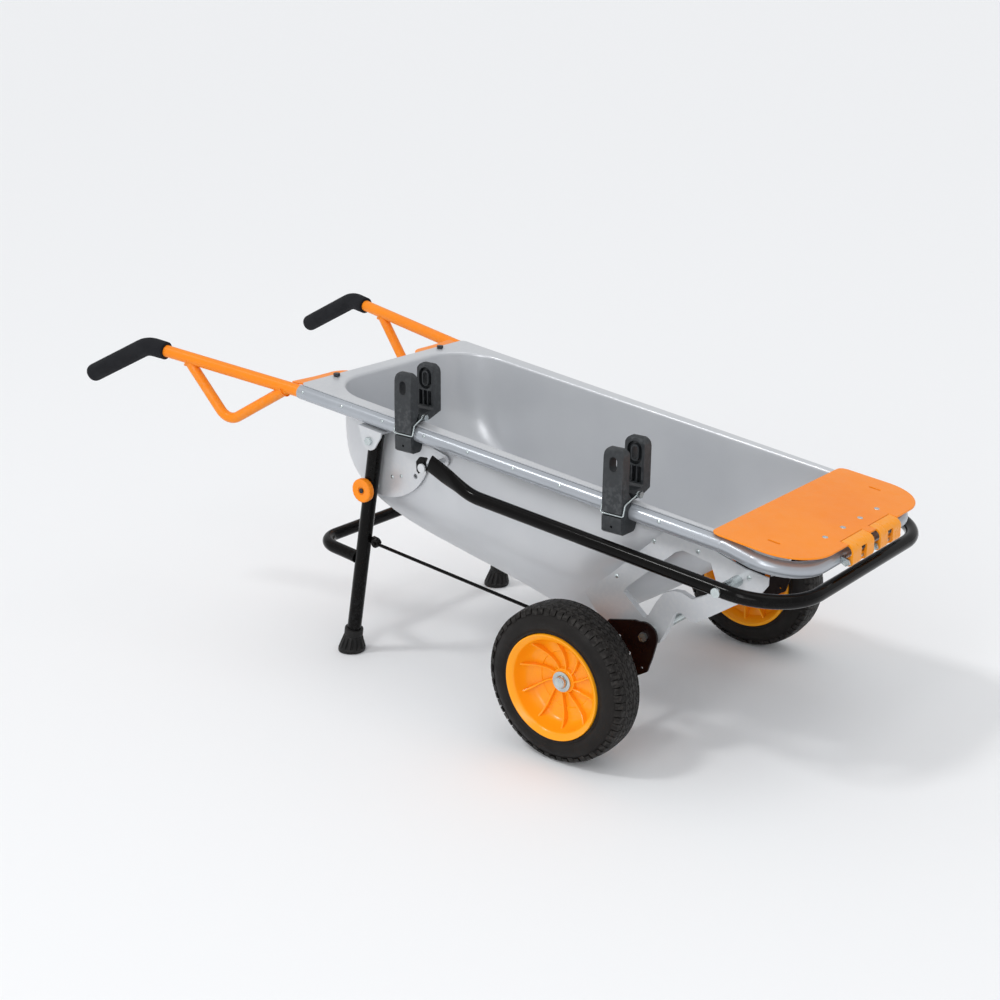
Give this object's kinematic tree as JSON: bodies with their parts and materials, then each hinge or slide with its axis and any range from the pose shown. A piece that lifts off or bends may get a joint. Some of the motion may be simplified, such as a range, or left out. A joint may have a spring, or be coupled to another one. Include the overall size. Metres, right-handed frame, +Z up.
{
  "type": "convertible wheelbarrow",
  "caption": "Two-wheeled garden cart with a steel tub, folding legs, a swinging axle, a fold-out toe plate, an extension arm and side clips for long tools.",
  "frame": {"origin": "centre of the whole on the ground, on the plane of symmetry of the frame", "axes": "+X to the front, away from the handles; +Z up; the pusher's right side is -Y"},
  "size_m": [1.4922, 0.6526, 0.547],
  "materials": {
    "silver_paint": "satin silver-grey powder coat",
    "orange_paint": "satin orange powder coat",
    "black_paint": "gloss black enamel",
    "clip_plastic": "matt dark grey moulding",
    "grip_foam": "matt black foam",
    "foot_rubber": "matt black",
    "tyre_rubber": "matt black",
    "wheel_plastic": "gloss orange-yellow",
    "knob_plastic": "satin orange",
    "zinc": "bright zinc plate",
    "dark_bolt": "black oxide"
  },
  "bodies": {
    "chassis": {"tub": "silver_paint", "front_rail": "silver_paint", "right_rail": "silver_paint", "left_rail": "silver_paint", "right_handle": "orange_paint", "left_handle": "orange_paint", "right_grip": "grip_foam", "left_grip": "grip_foam", "right_tab_bolt": "dark_bolt", "left_tab_bolt": "dark_bolt", "right_leg_bracket": "silver_paint", "left_leg_bracket": "silver_paint", "right_sector_plate": "silver_paint", "left_sector_plate": "silver_paint", "right_leg_pivot_bolt": "zinc", "left_leg_pivot_bolt": "zinc", "right_side_plate": "silver_paint", "left_side_plate": "silver_paint", "right_arm_bolt": "zinc", "left_arm_bolt": "zinc", "right_carrier_bolt": "zinc", "left_carrier_bolt": "zinc", "right_toe_pin": "zinc", "left_toe_pin": "zinc", "rear_clip_inner_jaw": "clip_plastic", "front_clip_inner_jaw": "clip_plastic", "rear_clip_bolt": "zinc", "front_clip_bolt": "zinc"},
    "leg_frame": {"right_leg": "black_paint", "left_leg": "black_paint", "kick_bar": "black_paint", "right_foot": "foot_rubber", "left_foot": "foot_rubber"},
    "axle_carrier": {"right_carrier_plate": "black_paint", "left_carrier_plate": "black_paint", "axle": "zinc", "right_axle_washer": "zinc", "left_axle_washer": "zinc"},
    "right_wheel": {"right_tyre": "tyre_rubber", "right_rim": "wheel_plastic"},
    "left_wheel": {"left_tyre": "tyre_rubber", "left_rim": "wheel_plastic"},
    "right_rod": {"right_link_rod": "black_paint"},
    "left_rod": {"left_link_rod": "black_paint"},
    "right_knob": {"right_lock_knob": "knob_plastic"},
    "left_knob": {"left_lock_knob": "knob_plastic"},
    "extension_arm": {"extension_arm": "black_paint", "right_hook_plate": "black_paint", "left_hook_plate": "black_paint"},
    "toe_plate": {"toe_plate": "orange_paint", "right_toe_hinge": "orange_paint", "left_toe_hinge": "orange_paint"},
    "rear_clip_jaw": {"rear_clip_outer_jaw": "clip_plastic"},
    "front_clip_jaw": {"front_clip_outer_jaw": "clip_plastic"},
    "rear_clip_bail": {"rear_clip_bail": "zinc"},
    "front_clip_bail": {"front_clip_bail": "zinc"}
  },
  "joints": [
    {"name": "leg_fold", "type": "hinge", "parent": "chassis", "child": "leg_frame", "pos_m": [-0.0811, 0, 0.4094], "axis": [0, -1, 0], "range_deg": [0, 62]},
    {"name": "carrier_swing", "type": "hinge", "parent": "chassis", "child": "axle_carrier", "pos_m": [0.4775, 0, 0.2025], "axis": [0, -1, 0], "range_deg": [0, 121]},
    {"name": "right_wheel_spin", "type": "hinge", "parent": "axle_carrier", "child": "right_wheel", "pos_m": [0.3817, -0.2907, 0.127], "axis": [0, 1, 0], "continuous": true},
    {"name": "right_rod_swing", "type": "hinge", "parent": "leg_frame", "child": "right_rod", "pos_m": [-0.0893, -0.207, 0.218], "axis": [0, -1, 0], "range_deg": [-78, 0]},
    {"name": "right_lock_pull", "type": "slide", "parent": "leg_frame", "child": "right_knob", "axis": [0, -1, 0], "range_m": [0, 0.008], "stiffness_N_per_m": 300},
    {"name": "left_wheel_spin", "type": "hinge", "parent": "axle_carrier", "child": "left_wheel", "pos_m": [0.3817, 0.2907, 0.127], "axis": [0, 1, 0], "continuous": true},
    {"name": "left_rod_swing", "type": "hinge", "parent": "leg_frame", "child": "left_rod", "pos_m": [-0.0893, 0.207, 0.218], "axis": [0, -1, 0], "range_deg": [-78, 0]},
    {"name": "left_lock_pull", "type": "slide", "parent": "leg_frame", "child": "left_knob", "axis": [0, 1, 0], "range_m": [0, 0.008], "stiffness_N_per_m": 300},
    {"name": "extension_arm_swing", "type": "hinge", "parent": "chassis", "child": "extension_arm", "pos_m": [0.6213, 0, 0.3235], "axis": [0, -1, 0], "range_deg": [-90, 0]},
    {"name": "toe_plate_fold", "type": "hinge", "parent": "chassis", "child": "toe_plate", "pos_m": [0.7393, 0, 0.34781], "axis": [0, 1, 0], "range_deg": [0, 90]},
    {"name": "rear_clip_open", "type": "hinge", "parent": "chassis", "child": "rear_clip_jaw", "pos_m": [-0.0017, -0.21152, 0.43808], "axis": [0.9936, 0.0301, -0.1088], "range_deg": [0, 6], "stiffness_Nm_per_rad": 2},
    {"name": "rear_bail_swing", "type": "hinge", "parent": "chassis", "child": "rear_clip_bail", "pos_m": [-0.0017, -0.1995, 0.46245], "axis": [1, 0, 0], "range_deg": [0, 6]},
    {"name": "front_clip_open", "type": "hinge", "parent": "chassis", "child": "front_clip_jaw", "pos_m": [0.4193, -0.19876, 0.39198], "axis": [0.9936, 0.0301, -0.1088], "range_deg": [0, 6], "stiffness_Nm_per_rad": 2},
    {"name": "front_bail_swing", "type": "hinge", "parent": "chassis", "child": "front_clip_bail", "pos_m": [0.4193, -0.18776, 0.41635], "axis": [1, 0, 0], "range_deg": [0, 6]}
  ],
  "couplings": [
    {"joint": "carrier_swing", "follows": "leg_fold", "ratio": 1.9206},
    {"joint": "right_rod_swing", "follows": "leg_fold", "ratio": -1.2379},
    {"joint": "left_rod_swing", "follows": "leg_fold", "ratio": -1.2379},
    {"joint": "rear_bail_swing", "follows": "rear_clip_open", "ratio": 0.36},
    {"joint": "front_bail_swing", "follows": "front_clip_open", "ratio": 0.537}
  ]
}
